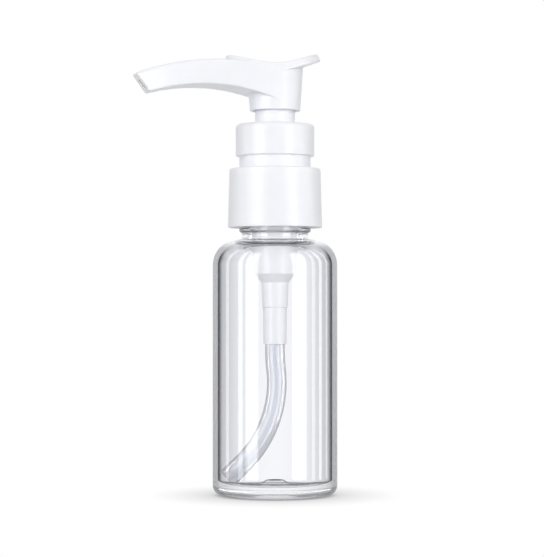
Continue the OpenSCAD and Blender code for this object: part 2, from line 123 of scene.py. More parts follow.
# Clear wall: attributes that say where its rims get painted shade, and how dark it is there,
# as stops of (how edge-on the wall is met, share darkened)
OUTER = "outer_rim_shade"
INNER = "inner_rim_shade"
HEEL_RIM = "heel_rim_shade"
OUTER_RIM_SHADE = [(0.0, 0.02), (0.18, 0.09), (0.42, 0.24), (0.56, 0.40),
              (0.585, 0.6), (0.61, 0.42), (0.8, 0.44)]
HEEL_RIM_SHADE = [(0.0, 0.0), (0.38, 0.18), (0.58, 0.26), (0.68, 0.62), (0.8, 0.62)]
# the inner wall's painted rims, met from the bottle's hollow and from within the plastic
HOLLOW_RIM_SHADE = [(0.0, 0.0), (0.66, 0.04), (0.78, 1.0)]
WITHIN_RIM_SHADE = [(0.0, 0.0), (0.216, 0.0), (0.224, 1.0), (0.231, 1.0), (0.237, 0.3), (0.25, 0.0)]
# the dip tube's, in the same way
TUBE_RIM_SHADE = [(0.1, 0.02), (0.16, 0.05), (0.3, 0.3), (0.8, 0.5)]

PAINTED_SHADE_TINT = (0.0, 0.004, 0.03, 1)   # colour of the painted shade on the rims
SLIGHT = 0.03           # share of the wall's painted rim shade left on the shoulder and the floor
UPRIGHT = 0.5           # share of the wall's painted rim shade over which it counts as upright
GUIDED = 1.5            # reflections after which light leaves the wall
FAR_WALL = 1.5          # surfaces passed before the far wall

# Heights between which the painted shade of each part of the wall starts or ends
HEEL_ENDS = (0.5, HEEL + 1.5)
OUTER_ENDS = (Z_SHOULDER - 3, Z_SHOULDER - 0.3)
INNER_ENDS = (Z_SHOULDER - 5.5, Z_SHOULDER - 3)
NECK_STARTS = (Z_SHOULDER + 1.5, Z_SHOULDER + 2.5)

# Camera: the photograph's frame, and where it shows the bottle
FRAME_W = 544
FRAME_H = 557
PIXEL = 0.2733          # size of a pixel at the bottle's axis
FOCAL_PX = 2000.0
AXIS_X = 275.0
HORIZON_Y = 306.0
STAND_Y = 494.8
AZIMUTH = -14.0
SENSOR = 36.0
CLIP_NEAR = 0.01        # in metres
CLIP_FAR = 20

# Floor, in metres
FLOOR_HALF = 1.5
FLOOR_GREY = 0.72       # its colour for the light that it sends back to the bottle
SHADE_REACH = 0.019     # how far the painted shade round the foot goes
SHADE_SAMPLES = 16
CONTACT_SHADE = 0.65    # share of the floor's glow that the painted shade takes out right under an edge

# Light of the surroundings, level with the bottle and overhead
SKY_LEVEL = 0.82
SKY_TOP = 0.42

# Front soft box and glare strips, in degrees and metres
LAMP_AIM = 0.06         # height that every lamp faces
FRONT_UP = 14
FRONT_FAR = 1.0
FRONT_SIZE = (0.6, 0.6)
FRONT_RADIANCE = 3.7

STRIP_FAR = 0.06
STRIP_H = 0.12
FACING = 45.0           # strips nearer the front than this show through the clear plastic too

# Each strip round the bottle: (degrees from the camera's side, width, radiance)
GLARE = [(-38.2, 0.021, 3.4), (40.8, 0.025, 3.4), (-57.8, 0.009, 4.0), (-86, 0.008, 3.6),
         (65.4, 0.007, 3.0), (80.5, 0.007, 5.0), (96.6, 0.005, 3.4)]


# ---------------------------------------------------------------- meshes

def place(name, verts, faces, body, material, replaces):
    """Makes a smooth piece from millimetre points, and ties it to its body and its CAD nodes."""
    mesh = bpy.data.meshes.new(name)
    mesh.from_pydata((np.asarray(verts, float) * MM).tolist(), [], faces)
    mesh.validate()
    mesh.update()
    mesh.polygons.foreach_set("use_smooth", [True] * len(mesh.polygons))
    piece = bpy.data.objects.new(name, mesh)
    bpy.context.scene.collection.objects.link(piece)
    mesh.materials.append(material)
    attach(piece, body)
    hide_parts(*replaces)
    return piece


def rounded(corners):
    """Outline through corners (r, z, fillet radius), with each fillet as an arc.

    An outline that starts on the axis is open there; any other is closed.
    """
    count = len(corners)
    closed = corners[0][0] > 0
    points = []
    for i, (r, z, fillet) in enumerate(corners):
        here = np.array([r, z], float)
        at_end = not closed and i in (0, count - 1)
        if fillet <= 0 or at_end:
            points.append(here)
            continue
        before = np.array(corners[i - 1][:2], float) - here
        after = np.array(corners[(i + 1) % count][:2], float) - here
        before /= np.linalg.norm(before)
        after /= np.linalg.norm(after)
        half = math.acos(max(-1.0, min(1.0, before @ after))) / 2
        middle = (before + after) / np.linalg.norm(before + after)
        centre = here + middle * fillet / math.sin(half)
        start = here + before * fillet / math.tan(half) - centre
        end = here + after * fillet / math.tan(half) - centre
        sweep = math.atan2(start[0] * end[1] - start[1] * end[0], start @ end)
        steps = WIDE_STEPS if fillet > WIDE_FILLET else FILLET_STEPS
        for k in range(steps + 1):
            a = sweep * k / steps
            turn = np.array([[math.cos(a), -math.sin(a)], [math.sin(a), math.cos(a)]])
            points.append(centre + turn @ start)
    return points


def divided(points, z_from, z_to, step):
    """Adds points along the straight upright stretches between two heights."""
    out = []
    for i, p in enumerate(points):
        out.append(p)
        q = points[(i + 1) % len(points)]
        length = abs(q[1] - p[1])
        upright = abs(p[0] - q[0]) < SAME
        between = min(p[1], q[1]) >= z_from and max(p[1], q[1]) <= z_to
        if upright and between and length > step:
            count = int(length / step)
            out += [p + (q - p) * k / count for k in range(1, count)]
    return out


def turned(points, lift=None):
    """Revolves an outline about Z. lift(r, z, angle) gives what is added to a radius."""
    verts, rings = [], []
    for r, z in points:
        if r < SAME:
            rings.append([len(verts)])
            verts.append((0.0, 0.0, z))
            continue
        ring = []
        for k in range(SEGMENTS):
            a = 2 * math.pi * k / SEGMENTS
            radius = r + (lift(r, z, a) if lift else 0.0)
            ring.append(len(verts))
            verts.append((radius * math.cos(a), radius * math.sin(a), z))
        rings.append(ring)
    faces = []
    spans = list(zip(rings, rings[1:]))
    if len(rings[0]) > 1:
        spans.append((rings[-1], rings[0]))
    for a, b in spans:
        for k in range(SEGMENTS):
            n = (k + 1) % SEGMENTS
            if len(a) == 1:
                faces.append((a[0], b[n], b[k]))
            elif len(b) == 1:
                faces.append((a[k], a[n], b[0]))
            else:
                faces.append((a[k], a[n], b[n], b[k]))
    return verts, faces


def swept(path, radius, sides):
    """Tube surface round a path of (point, across, up) frames, open at both ends."""
    verts = []
    for point, across, up in path:
        for k in range(sides):
            a = 2 * math.pi * k / sides
            verts.append(point + radius * (math.cos(a) * across + math.sin(a) * up))
    faces = [(i * sides + k, i * sides + (k + 1) % sides,
              (i + 1) * sides + (k + 1) % sides, (i + 1) * sides + k)
             for i in range(len(path) - 1) for k in range(sides)]
    return verts, faces


# ---------------------------------------------------------------- shapes as distance fields

def edge(a, b, r):
    """Intersection of two solids with an outer edge rounded by r."""
    past = np.hypot(np.maximum(a + r, 0), np.maximum(b + r, 0))
    return np.minimum(np.maximum(a, b), -r) + past


def corner(a, b, r):
    """Union of two solids with an inner corner filled by r."""
    near = np.hypot(np.maximum(r - a, 0), np.maximum(r - b, 0))
    return np.maximum(np.minimum(a, b), r) - near


def fade(x, start, end):
    """0 before start and 1 past end, smoothly."""
    t = np.clip((x - start) / (end - start), 0, 1)
    return t * t * (3 - 2 * t)


def surface_net(field, lo, hi, step):
    """Closed quad mesh of the surface where field(x, y, z) is zero."""
    # one point in each cell that the surface crosses, at the mean of its crossings of the edges
    axes = [np.arange(a, b + step, step) for a, b in zip(lo, hi)]
    grid = np.meshgrid(*axes, indexing="ij")
    f = field(*grid)
    inside = f < 0
    shape = np.array(f.shape) - 1
    total = np.zeros(tuple(shape) + (3,))
    count = np.zeros(tuple(shape))
    for axis in range(3):
        near = [slice(0, -1) if a == axis else slice(None) for a in range(3)]
        far = [slice(1, None) if a == axis else slice(None) for a in range(3)]
        fa, fb = f[tuple(near)], f[tuple(far)]
        cross = (fa < 0) != (fb < 0)
        t = np.where(cross, fa / np.where(cross, fa - fb, 1), 0)
        others = [a for a in range(3) if a != axis]
        for da in (0, 1):
            for db in (0, 1):
                pick = [slice(None)] * 3
                pick[others[0]] = slice(da, shape[others[0]] + da)
                pick[others[1]] = slice(db, shape[others[1]] + db)
                c, tt = cross[tuple(pick)], t[tuple(pick)]
                offset = [0.0, 0.0, 0.0]
                offset[others[0]], offset[others[1]] = da, db
                for a in range(3):
                    total[..., a] += np.where(c, tt if a == axis else offset[a], 0)
                count += c
    active = count > 0
    index = np.full(tuple(shape), -1)
    index[active] = np.arange(active.sum())
    cells = np.argwhere(active)
    verts = np.array(lo) + step * (cells + total[active] / count[active][:, None])
    # one face for each grid edge that the surface crosses, through the four cells round it
    faces = []
    for axis in range(3):
        u, v = (axis + 1) % 3, (axis + 2) % 3
        near = [slice(0, -1) if a == axis else slice(1, -1) for a in range(3)]
        far = [slice(1, None) if a == axis else slice(1, -1) for a in range(3)]
        ia, ib = inside[tuple(near)], inside[tuple(far)]
        for flag, order in ((ia & ~ib, 1), (~ia & ib, -1)):
            at = np.argwhere(flag)
            at[:, u] += 1
            at[:, v] += 1
            ring = []
            for du, dv in ((1, 1), (0, 1), (0, 0), (1, 0)):
                cell = at.copy()
                cell[:, u] -= du
                cell[:, v] -= dv
                ring.append(index[cell[:, 0], cell[:, 1], cell[:, 2]])
            quad = np.stack(ring, 1)
            faces += quad[:, ::order].tolist()
    # the points are then drawn onto the surface, a short way at a time
    nudge = step * 0.05
    longest = step * 0.4
    passes = 4
    least = 0.25            # square of the least slope that is trusted
    for _ in range(passes):
        here = field(*verts.T)
        slope = []
        for d in np.eye(3):
            ahead, behind = field(*(verts + nudge * d).T), field(*(verts - nudge * d).T)
            slope.append((ahead - behind) / (2 * nudge))
        slope = np.stack(slope, 1)
        size = np.maximum((slope ** 2).sum(1), least)
        move = -here[:, None] * slope / size[:, None]
        length = np.linalg.norm(move, axis=1, keepdims=True)
        verts = verts + move * np.minimum(1, longest / np.maximum(length, SAME))
    return verts, faces


# Actuator: skirt and spout
SKIRT_R = 6.9
DRAFT = math.radians(3.7)
SIDE_R = 178.0          # bow of the spout's long sides in plan
SLANT = math.radians(37)
HEAD_H = 13.2
CREST_X = 16.5          # where the arch is highest, in front of the axis
TOP_R = 65.8            # arcs of the spout's top and underside
UNDER_R = 51.5
UNDER_SHIFT = 3.7
SPOUT_T = 6.8

# Finger pad
PAD_FRONT = 13.6
PAD_TAIL = 12.7
PAD_T = 2.25
SADDLE_X = 1.5
SADDLE_DROP = 0.65      # below the arch's crest
FRONT_SADDLE_R = 31.5
FRONT_BEND = 0.9        # share of the front arc's radius that the curve runs for
TAIL_SADDLE_R = 17.5
TAIL_SLOPE = math.radians(17.3)
TAIL_LEAN = math.radians(27)

# Hollows in the actuator
SKIRT_BORE = 5.75
BOSS_R = 3.95
BOSS_DROP = 7.3
SOCKET_R = 2.98
CHANNEL_R = 1.4
CEILING = 6.9           # above the skirt's rim
SOCKET_UP = 0.95        # above the ceiling
FAR_OFF = 9.0           # distance given where a hollow doesn't reach

# Heights in the part's frame, and half the finger pad's width
Z_CREST = Z_SKIRT + HEAD_H
Z_SADDLE = Z_CREST - SADDLE_DROP
Z_TIP = Z_CREST - TOP_R + math.sqrt(TOP_R ** 2 - (REACH - CREST_X) ** 2)
Z_CEILING = Z_SKIRT + CEILING
PAD_W = SKIRT_R + (Z_SADDLE - Z_SKIRT) * math.tan(DRAFT)

# Rounding of the actuator's edges
EDGE_R = 0.45
TOP_EDGE_R = 0.9
PAD_EDGE_R = 0.35
RIM_EDGE_R = 0.15
MOUTH_EDGE_R = 0.12
FILLET_R = 0.5

# Spans in front of the axis over which a rounding of the spout sets in
ARCH_FILLET = (3.0, 5.5)
SIDE_EDGE = (8.0, 12.0)
TOP_EDGE = (9.0, 14.0)

# Spans behind the axis for the finger pad's
PAD_UNDER_EDGE = (-1.0, 2.0)
PAD_FILLET = (2.0, 4.5)

# How far the body goes up to the pad: in front of the axis, and past the skirt behind it
PAD_BASE_FRONT = 2
PAD_BASE_BACK = 1
HEAD_STEP = 0.24        # size of the cells of the actuator's mesh


def pad_top(u):
    """Height of the finger pad's top, u in front of the axis, and the cosine of its slope."""
    run = np.abs(u - SADDLE_X)
    r = np.where(u > SADDLE_X, FRONT_SADDLE_R, TAIL_SADDLE_R)
    tail_bend = TAIL_SADDLE_R * math.sin(TAIL_SLOPE)
    bend = np.where(u > SADDLE_X, FRONT_BEND * FRONT_SADDLE_R, tail_bend)
    curved = np.minimum(run, bend)
    tilt = np.sqrt(1 - (curved / r) ** 2)
    straight = (run - curved) * math.tan(TAIL_SLOPE)
    return Z_SADDLE + r * (1 - tilt) + straight, tilt


def head_outline(x, y, z):
    """Distance to the skirt's cone with the spout's long curved sides, and to the cone alone."""
    wider = (z - Z_SKIRT) * math.tan(DRAFT)
    cone = (np.hypot(x, y) - SKIRT_R - wider) * math.cos(DRAFT)
    sides = (np.hypot(x, np.abs(y) + SIDE_R - SKIRT_R) - SIDE_R - wider) * math.cos(DRAFT)
    return np.where(x < 0, sides, cone), cone


def pad_outline(x, y, z):
    """Distance to the pad's outline in plan: round in front, round with a leaning end behind."""
    z_tail = pad_top(np.array(-PAD_TAIL))[0] - PAD_T
    along = x * math.cos(TAIL_LEAN) + (z - z_tail) * math.sin(TAIL_LEAN)
    past_front = np.minimum(x + PAD_FRONT - PAD_W, 0)
    past_tail = np.maximum(along - PAD_TAIL * math.cos(TAIL_LEAN) + PAD_W, 0)
    return np.hypot(past_front + past_tail, y) - PAD_W


def head_field(x, y, z):
    """Distance field of the actuator: skirt, spout, finger pad and the hollows in them."""
    outline, cone = head_outline(x, y, z)
    top = np.hypot(x + CREST_X, z - Z_CREST + TOP_R) - TOP_R
    under_z = Z_CREST - SPOUT_T - UNDER_R
    under = UNDER_R - np.hypot(x + CREST_X + UNDER_SHIFT, z - under_z)
    tip = -(x + REACH) * math.cos(SLANT) - (z - Z_TIP) * math.sin(SLANT)
    pad_z, tilt = pad_top(-x)
    beside_pad = np.maximum(-x - PAD_BASE_FRONT, x - SKIRT_R - PAD_BASE_BACK)
    under_pad = np.maximum((z - pad_z + PAD_T / 2) * tilt, beside_pad)
    # solid above the arched underside, or inside the skirt's cone
    base = corner(under, cone, FILLET_R * fade(-x, *ARCH_FILLET))
    body = edge(outline, base, EDGE_R * fade(-x, *SIDE_EDGE))
    top_edge_r = EDGE_R + (TOP_EDGE_R - EDGE_R) * fade(-x, *TOP_EDGE)
    body = edge(body, np.minimum(top, under_pad), top_edge_r)
    body = edge(body, tip, EDGE_R)
    body = edge(body, Z_SKIRT - z, RIM_EDGE_R)
    # finger pad: no wider than the spout in front of the axis
    plan = pad_outline(x, y, z)
    plan = np.where(x < 0, np.maximum(plan, outline), plan)
    pad = edge((z - pad_z) * tilt, plan, PAD_EDGE_R)
    pad = edge(pad, (pad_z - PAD_T - z) * tilt, PAD_EDGE_R * fade(x, *PAD_UNDER_EDGE))
    solid = corner(body, pad, FILLET_R * fade(x, *PAD_FILLET))
    # skirt's cavity round the boss, socket for the stem, and channel up and along the arch
    rho = np.hypot(x, y)
    cavity = np.maximum(rho - SKIRT_BORE, z - Z_CEILING)
    boss = np.maximum(rho - BOSS_R, Z_CEILING - BOSS_DROP - z)
    cavity = np.maximum(cavity, -boss)
    socket = np.maximum(rho - SOCKET_R, z - Z_CEILING - SOCKET_UP)
    channel_z = Z_CREST - SPOUT_T / 2
    arch = TOP_R - SPOUT_T / 2
    bent = np.hypot(np.hypot(x + CREST_X, z - channel_z + arch) - arch, y)
    is_level = (x < 0) & (x > -CREST_X)
    level = np.where(is_level, np.hypot(y, z - channel_z), FILLET_R + CHANNEL_R)
    upright = np.where(z < channel_z, rho, np.hypot(rho, z - channel_z))
    along = np.where(x < -CREST_X, bent, level)
    channel = np.minimum(along, np.where(z > Z_CEILING, upright, FAR_OFF))
    hollow = np.minimum(np.minimum(cavity, socket), channel - CHANNEL_R)
    return edge(solid, -hollow, MOUTH_EDGE_R)


# ---------------------------------------------------------------- materials

# Span of a noise's values that is used
NOISE_LOW = 0.3
NOISE_HIGH = 0.7


def new_material(name):
    """New material, with its nodes, links and shader."""
    material = bpy.data.materials.new(name)
    material.use_nodes = True
    nodes = material.node_tree.nodes
    shader = nodes["Principled BSDF"]
    return material, nodes, material.node_tree.links, shader


def noise(nodes, links, scale, detail=3.0, stretch=None):
    """Noise over the piece's own coordinates; stretch squeezes it along an axis."""
    coords = nodes.new("ShaderNodeTexCoord")
    texture = nodes.new("ShaderNodeTexNoise")
    texture.inputs["Scale"].default_value = scale
    texture.inputs["Detail"].default_value = detail
    source = coords.outputs["Object"]
    if stretch:
        mapping = nodes.new("ShaderNodeMapping")
        mapping.inputs["Scale"].default_value = stretch
        links.new(source, mapping.inputs["Vector"])
        source = mapping.outputs["Vector"]
    links.new(source, texture.inputs["Vector"])
    return texture.outputs["Fac"]


def ranged(nodes, links, source, lo, hi):
    """Maps a noise's value to lo..hi."""
    node = nodes.new("ShaderNodeMapRange")
    node.inputs["From Min"].default_value = NOISE_LOW
    node.inputs["From Max"].default_value = NOISE_HIGH
    node.inputs["To Min"].default_value = lo
    node.inputs["To Max"].default_value = hi
    links.new(source, node.inputs["Value"])
    return node.outputs["Result"]


def tinted(nodes, links, source, dark, light):
    """Colour that runs from dark to light with a noise."""
    ramp = nodes.new("ShaderNodeValToRGB")
    stops = ((NOISE_LOW, dark), (NOISE_HIGH, light))
    for element, (position, color) in zip(ramp.color_ramp.elements, stops):
        element.position = position
        element.color = (*color, 1)
    links.new(source, ramp.inputs["Fac"])
    return ramp.outputs["Color"]


def bumped(nodes, links, shader, source, depth, strength=1.0):
    """Surface relief of a depth in metres."""
    bump = nodes.new("ShaderNodeBump")
    bump.inputs["Strength"].default_value = strength
    bump.inputs["Distance"].default_value = depth
    links.new(source, bump.inputs["Height"])
    links.new(bump.outputs["Normal"], shader.inputs["Normal"])


def moulded(name, dark, light, rough, grain, depth, scatter):
    """Moulded plastic: slight mottle, fine grain, light that spreads under the skin."""
    material, nodes, links, shader = new_material(name)
    mottle = noise(nodes, links, scale=260.0)
    links.new(tinted(nodes, links, mottle, dark, light), shader.inputs["Base Color"])
    fine = noise(nodes, links, grain, detail=4.0)
    links.new(ranged(nodes, links, fine, rough - 0.04, rough + 0.05), shader.inputs["Roughness"])
    bumped(nodes, links, shader, fine, depth)
    shader.inputs["IOR"].default_value = 1.49
    shader.inputs["Subsurface Weight"].default_value = scatter
    shader.inputs["Subsurface Scale"].default_value = 0.0015
    shader.inputs["Subsurface Radius"].default_value = (1.0, 0.95, 0.9)
    return material


def painted_rim_shade(nodes, links, stops):
    """Share of painted shade on a clear wall's rims, by stops of (how edge-on it is met, share
    darkened).
    """
    layer = nodes.new("ShaderNodeLayerWeight")
    layer.inputs["Blend"].default_value = 0.5
    ramp = nodes.new("ShaderNodeValToRGB")
    elements = ramp.color_ramp.elements
    while len(elements) < len(stops):
        elements.new(0.5)
    for element, (facing, painted_dark) in zip(elements, stops):
        element.position = facing
        element.color = (painted_dark, painted_dark, painted_dark, 1)
    links.new(layer.outputs["Facing"], ramp.inputs["Fac"])
    return ramp.outputs["Color"]


def combined(nodes, links, operation, *values):
    """Result of a Math node over sockets or numbers."""
    node = nodes.new("ShaderNodeMath")
    node.operation = operation
    for socket, value in zip(node.inputs, values):
        if isinstance(value, (int, float)):
            socket.default_value = value
        else:
            links.new(value, socket)
    return node.outputs["Value"]


def mixed(nodes, links, share, first, second):
    """Mix Shader node of two shader nodes, with a share of the second."""
    mix = nodes.new("ShaderNodeMixShader")
    links.new(share, mix.inputs["Fac"])
    links.new(first.outputs[0], mix.inputs[1])
    links.new(second.outputs[0], mix.inputs[2])
    return mix


def paint_rim_shade(nodes, links, shader, painted_dark):
    """Paints shade: mixes in a share of a near-black diffuse, which darkens what the shader
    reflects and lets through.
    """
    dark = nodes.new("ShaderNodeBsdfDiffuse")
    dark.inputs["Color"].default_value = PAINTED_SHADE_TINT
    mix = mixed(nodes, links, painted_dark, shader, dark)
    links.new(mix.outputs["Shader"], nodes["Material Output"].inputs["Surface"])


def clear_plastic():
    """Blown PET: clear, with painted shade that makes it greyer through its edges and darkest
    where the inner wall turns edge-on.
    """
    material, nodes, links, shader = new_material("clear_pet")
    shader.inputs["Base Color"].default_value = (0.95, 0.958, 0.995, 1)
    shader.inputs["IOR"].default_value = 1.57
    shader.inputs["Transmission Weight"].default_value = 1.0
    ripple = noise(nodes, links, scale=60.0, detail=1.0, stretch=(1.0, 1.0, 0.35))
    bumped(nodes, links, shader, ripple, depth=0.00001, strength=0.5)
    haze = noise(nodes, links, scale=900.0)
    links.new(ranged(nodes, links, haze, 0.0, 0.015), shader.inputs["Roughness"])
    # painted shade: dark rims of the wall by how edge-on it is met
    outer = painted_rim_shade(nodes, links, OUTER_RIM_SHADE)
    heel = painted_rim_shade(nodes, links, HEEL_RIM_SHADE)
    # the inner wall's painted shade depends on the side that it is met from
    inner = nodes.new("ShaderNodeMix")
    links.new(nodes.new("ShaderNodeNewGeometry").outputs["Backfacing"], inner.inputs["Factor"])
    links.new(painted_rim_shade(nodes, links, HOLLOW_RIM_SHADE), inner.inputs["A"])
    links.new(painted_rim_shade(nodes, links, WITHIN_RIM_SHADE), inner.inputs["B"])
    total = 0.0
    shares = {}
    for name, painted_dark in ((OUTER, outer), (HEEL_RIM, heel), (INNER, inner.outputs["Result"])):
        share = nodes.new("ShaderNodeAttribute")
        share.attribute_name = name
        shares[name] = share.outputs["Fac"]
        total = combined(nodes, links, "MULTIPLY_ADD", shares[name], painted_dark, total)
    # The pieces inside get their light straight through the wall. Light that runs along in the
    # wall comes out before the renderer drops its path. The far upright wall doesn't bend.
    path = nodes.new("ShaderNodeLightPath")
    plain = combined(nodes, links, "GREATER_THAN", path.outputs["Diffuse Depth"], 0.5)
    plain = combined(nodes, links, "MAXIMUM", plain, path.outputs["Is Shadow Ray"])
    guided = combined(nodes, links, "GREATER_THAN", path.outputs["Glossy Depth"], GUIDED)
    plain = combined(nodes, links, "MAXIMUM", plain, guided)
    far = combined(nodes, links, "GREATER_THAN", path.outputs["Transmission Depth"], FAR_WALL)
    upright = combined(nodes, links, "MAXIMUM", shares[OUTER], shares[INNER])
    upright = combined(nodes, links, "GREATER_THAN", upright, UPRIGHT)
    far = combined(nodes, links, "MULTIPLY", far, upright)
    straight = combined(nodes, links, "MAXIMUM", plain, far)
    wall = mixed(nodes, links, straight, shader, nodes.new("ShaderNodeBsdfTransparent"))
    dimmed = combined(nodes, links, "SUBTRACT", 1.0, plain)
    paint_rim_shade(nodes, links, wall, combined(nodes, links, "MULTIPLY", total, dimmed))
    return material


def tube_plastic():
    """Extruded polyethylene: see-through with a milky cast, faint lines along it, and painted
    shade on its rims.
    """
    material, nodes, links, shader = new_material("tube_pe")
    shader.inputs["Base Color"].default_value = (0.88, 0.905, 0.955, 1)
    shader.inputs["IOR"].default_value = 1.5
    shader.inputs["Transmission Weight"].default_value = 0.5
    shader.inputs["Specular IOR Level"].default_value = 1.0
    shader.inputs["Coat Weight"].default_value = 1.0
    shader.inputs["Coat IOR"].default_value = 1.5
    shader.inputs["Coat Roughness"].default_value = 0.1
    lines = noise(nodes, links, scale=500.0, detail=2.0, stretch=(1.0, 1.0, 0.1))
    links.new(ranged(nodes, links, lines, 0.16, 0.2), shader.inputs["Roughness"])
    # painted shade: dark rims of the tube by how edge-on it is met
    paint_rim_shade(nodes, links, shader, painted_rim_shade(nodes, links, TUBE_RIM_SHADE))
    return material


def steel_wire():
    """Drawn stainless wire, with fine streaks of lighter and duller steel."""
    material, nodes, links, shader = new_material("spring_steel")
    shader.inputs["Metallic"].default_value = 1.0
    drawn = noise(nodes, links, scale=2500.0)
    color = tinted(nodes, links, drawn, (0.55, 0.56, 0.58), (0.75, 0.76, 0.78))
    links.new(color, shader.inputs["Base Color"])
    links.new(ranged(nodes, links, drawn, 0.18, 0.32), shader.inputs["Roughness"])
    return material


WHITE = moulded("white_pp", (0.905, 0.915, 0.968), (0.935, 0.945, 0.99),
                rough=0.33, grain=5200.0, depth=0.000004, scatter=0.25)
# painted light: a brighter copy of the white plastic for the housing, which gets less light inside
# the bottle
WHITE_BRIGHTENED = moulded("white_pp_brightened", (0.95, 0.955, 0.98), (0.98, 0.985, 1.0),
                       rough=0.3, grain=5200.0, depth=0.000004, scatter=0.1)
NATURAL = moulded("natural_pp", (0.80, 0.83, 0.86), (0.86, 0.88, 0.90),
                  rough=0.34, grain=4200.0, depth=0.000006, scatter=0.3)
SEAL = moulded("seal", (0.72, 0.72, 0.70), (0.82, 0.82, 0.80),
               rough=0.6, grain=1500.0, depth=0.00003, scatter=0.1)
CLEAR = clear_plastic()
TUBE = tube_plastic()
STEEL = steel_wire()


# ---------------------------------------------------------------- pieces

def thread_lift(z, angle):
    """Height of the thread at a point of the neck, run out gently at both ends."""
    lift = 0.0
    for turn in (0, 1):
        along = angle / (2 * math.pi) + turn
        if along > TURNS:
            continue
        run_out = min(1.0, along / RUN_OUT, (TURNS - along) / RUN_OUT)
        off = abs(z - Z_THREAD - PITCH * along) / (THREAD_W / 2)
        if off < 1:
            lift = max(lift, CREST * run_out * math.cos(off * math.pi / 2) ** THREAD_FORM)
    return lift


def neck_lift(r, z, angle):
    """Height of the bead or the thread at a point of the bottle; none off the plain neck."""
    if abs(r - NECK_R) > ON_NECK or z < Z_SHOULDER + NECK_FILLET - ON_NECK:
        return 0.0
    off = abs(z - Z_BEAD) / (BEAD_W / 2)
    bead = CREST * math.cos(off * math.pi / 2) ** BEAD_FORM if off < 1 else 0.0
    return max(bead, thread_lift(z, angle))


def make_bottle():
    """The bottle, from under its foot up the outside, over the mouth and down the inside."""
    inner_r = BOTTLE_R - WALL
    corners = [
        (0, DOME_H, 0), (DOME_R / 2, DOME_H, 0.8), (DOME_R, 0.5, 1.0), (STAND_R, 0, 1.5),
        (BOTTLE_R, 0, HEEL), (BOTTLE_R, Z_SHOULDER, SHOULDER),
        (NECK_R, Z_SHOULDER, NECK_FILLET), (NECK_R, Z_LAND, 0.25), (BORE_R, Z_LAND, 0.25),
        (BORE_R, Z_SHOULDER - WALL, 0.8), (inner_r, Z_SHOULDER - WALL, SHOULDER - WALL),
        (inner_r, FLOOR, 2.2), (DOME_R + 0.5, FLOOR, 0.8),
        (DOME_R / 2 + 0.1, FLOOR + DOME_H, 0.7), (0, FLOOR + DOME_H, 0),
    ]
    outline = divided(rounded(corners), Z_SHOULDER + 0.5, Z_LAND, NECK_STEP)
    verts, faces = turned(outline, lift=neck_lift)
    piece = place("bottle_shell", verts, faces, "bottle_body", CLEAR, ["bottle"])
    # the bore's mouth starts the inner surface; the upright wall gets the darkest painted rims
    start = next(i for i, p in enumerate(outline) if abs(p[0] - BORE_R) < SAME)
    first = 1 + (start - 1) * SEGMENTS
    z = np.array(verts)[:, 2]
    heel = 1 - fade(z, *HEEL_ENDS)
    neck = fade(z, *NECK_STARTS)
    is_inner = np.arange(len(verts)) >= first
    outer = (1 - heel) * (1 - fade(z, *OUTER_ENDS)) + neck
    inner = (1 - heel) * (1 - fade(z, *INNER_ENDS)) + neck
    outer, inner = np.maximum(outer, SLIGHT), np.maximum(inner, SLIGHT)
    # shares of the painted rim shade for each part of the wall
    shares = ((OUTER, outer * ~is_inner), (INNER, inner * is_inner), (HEEL_RIM, heel * ~is_inner))
    for name, values in shares:
        attribute = piece.data.attributes.new(name, "FLOAT", "POINT")
        attribute.data.foreach_set("value", values.tolist())


def make_cap():
    """The screw cap: tapered outside, with a sleeve inside that runs on the neck."""
    bore_r = FLANGE_R + 0.4
    sleeve_r = bore_r + 0.9
    top_r = RIM_R - 0.45
    hole_r = 8.6
    wall = 1.0
    z_under = Z_CAP - 1.65
    z_sleeve = Z_RIM + 1.2
    corners = [
        (hole_r, Z_CAP, 0.15), (top_r, Z_CAP, 0.5), (RIM_R, Z_RIM, 0.25),
        (RIM_R - wall, Z_RIM, 0.25), (top_r - wall, z_under - wall, 0),
        (sleeve_r, z_under - wall, 0),
        (sleeve_r, z_sleeve, 0.2), (bore_r, z_sleeve, 0.3),
        (bore_r, z_under, 0), (hole_r, z_under, 0.15),
    ]
    verts, faces = turned(rounded(corners))
    place("cap_shell", verts, faces, "cap", WHITE, ["screw_cap"])


def make_collar():
    """The ring over the cap, with its chimney, the guide in it and the neck under it."""
    neck_r = 9.75
    chimney_r = 5.45
    bore_r = chimney_r - 1.2
    guide_r = SOCKET_R
    spigot_r = HUB_R + 1.2
    plug_r = 4.95
    wall = 1.4
    z_flange = Z_CAP - 1.7
    z_neck = Z_CAP + 0.05
    z_ring = z_neck + 3.35
    z_top = z_ring + 8.7
    z_guide_top = Z_GUIDE + 13
    corners = [
        (spigot_r, z_flange, 0), (spigot_r, z_neck, 0.1), (neck_r, z_neck, 0.2),
        (neck_r, z_ring, 0.35), (RING_R, z_ring, 0.3), (RING_R, z_top, 1.0),
        (chimney_r, z_top, 0.35), (chimney_r, Z_CHIMNEY, 0.3), (bore_r, Z_CHIMNEY, 0.2),
        (bore_r, z_guide_top, 0.2), (guide_r, z_guide_top, 0.2), (guide_r, Z_GUIDE, 0.2),
        (plug_r, Z_GUIDE, 0.2), (plug_r, z_top - wall, 0), (RING_R - wall, z_top - wall, 0),
        (RING_R - wall, z_ring + wall, 0), (HUB_R, z_ring, 0), (HUB_R, z_flange, 0),
    ]
    verts, faces = turned(rounded(corners))
    place("collar_shell", verts, faces, "pump", WHITE, ["collar"])


